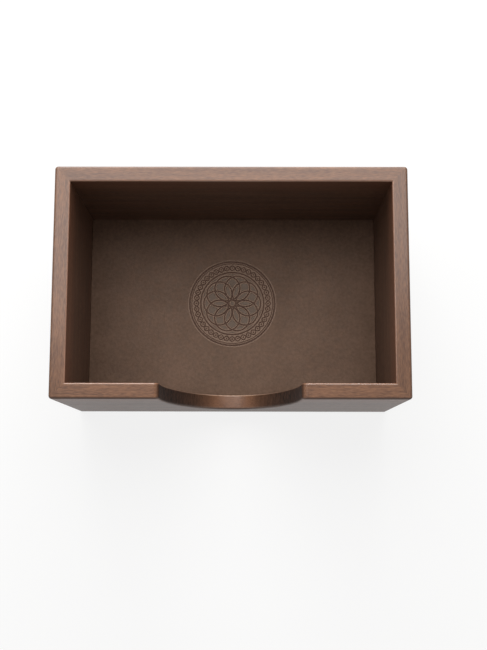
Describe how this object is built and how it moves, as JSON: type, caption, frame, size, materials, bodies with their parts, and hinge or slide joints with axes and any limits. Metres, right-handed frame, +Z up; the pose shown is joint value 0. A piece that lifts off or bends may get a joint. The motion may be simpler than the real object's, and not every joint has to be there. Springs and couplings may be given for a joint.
{
  "type": "business card holder",
  "caption": "Open wooden desk tray for business cards, with mitred walls, a deep thumb notch in front, a leather-covered floor pad and a felt base.",
  "frame": {"origin": "middle of the felt's underside, where the tray rests", "axes": "+X along the front wall to the right as seen from the front, +Y from the notched front wall to the back wall, +Z up"},
  "size_m": [0.112, 0.074, 0.061],
  "materials": {
    "wall_wood": "satin lacquer over dark brown stain",
    "fibreboard": "raw",
    "liner_board": "raw",
    "leather": "matte, lightly polished",
    "felt": "matte",
    "spline_wood": "raw"
  },
  "bodies": {
    "root": {"front_wall": "wall_wood", "back_wall": "wall_wood", "left_wall": "wall_wood", "right_wall": "wall_wood", "base_board": "fibreboard", "liner_board": "liner_board", "liner_leather": "leather", "base_felt": "felt", "spline_front_left": "spline_wood", "spline_front_right": "spline_wood", "spline_back_left": "spline_wood", "spline_back_right": "spline_wood"}
  },
  "joints": []
}
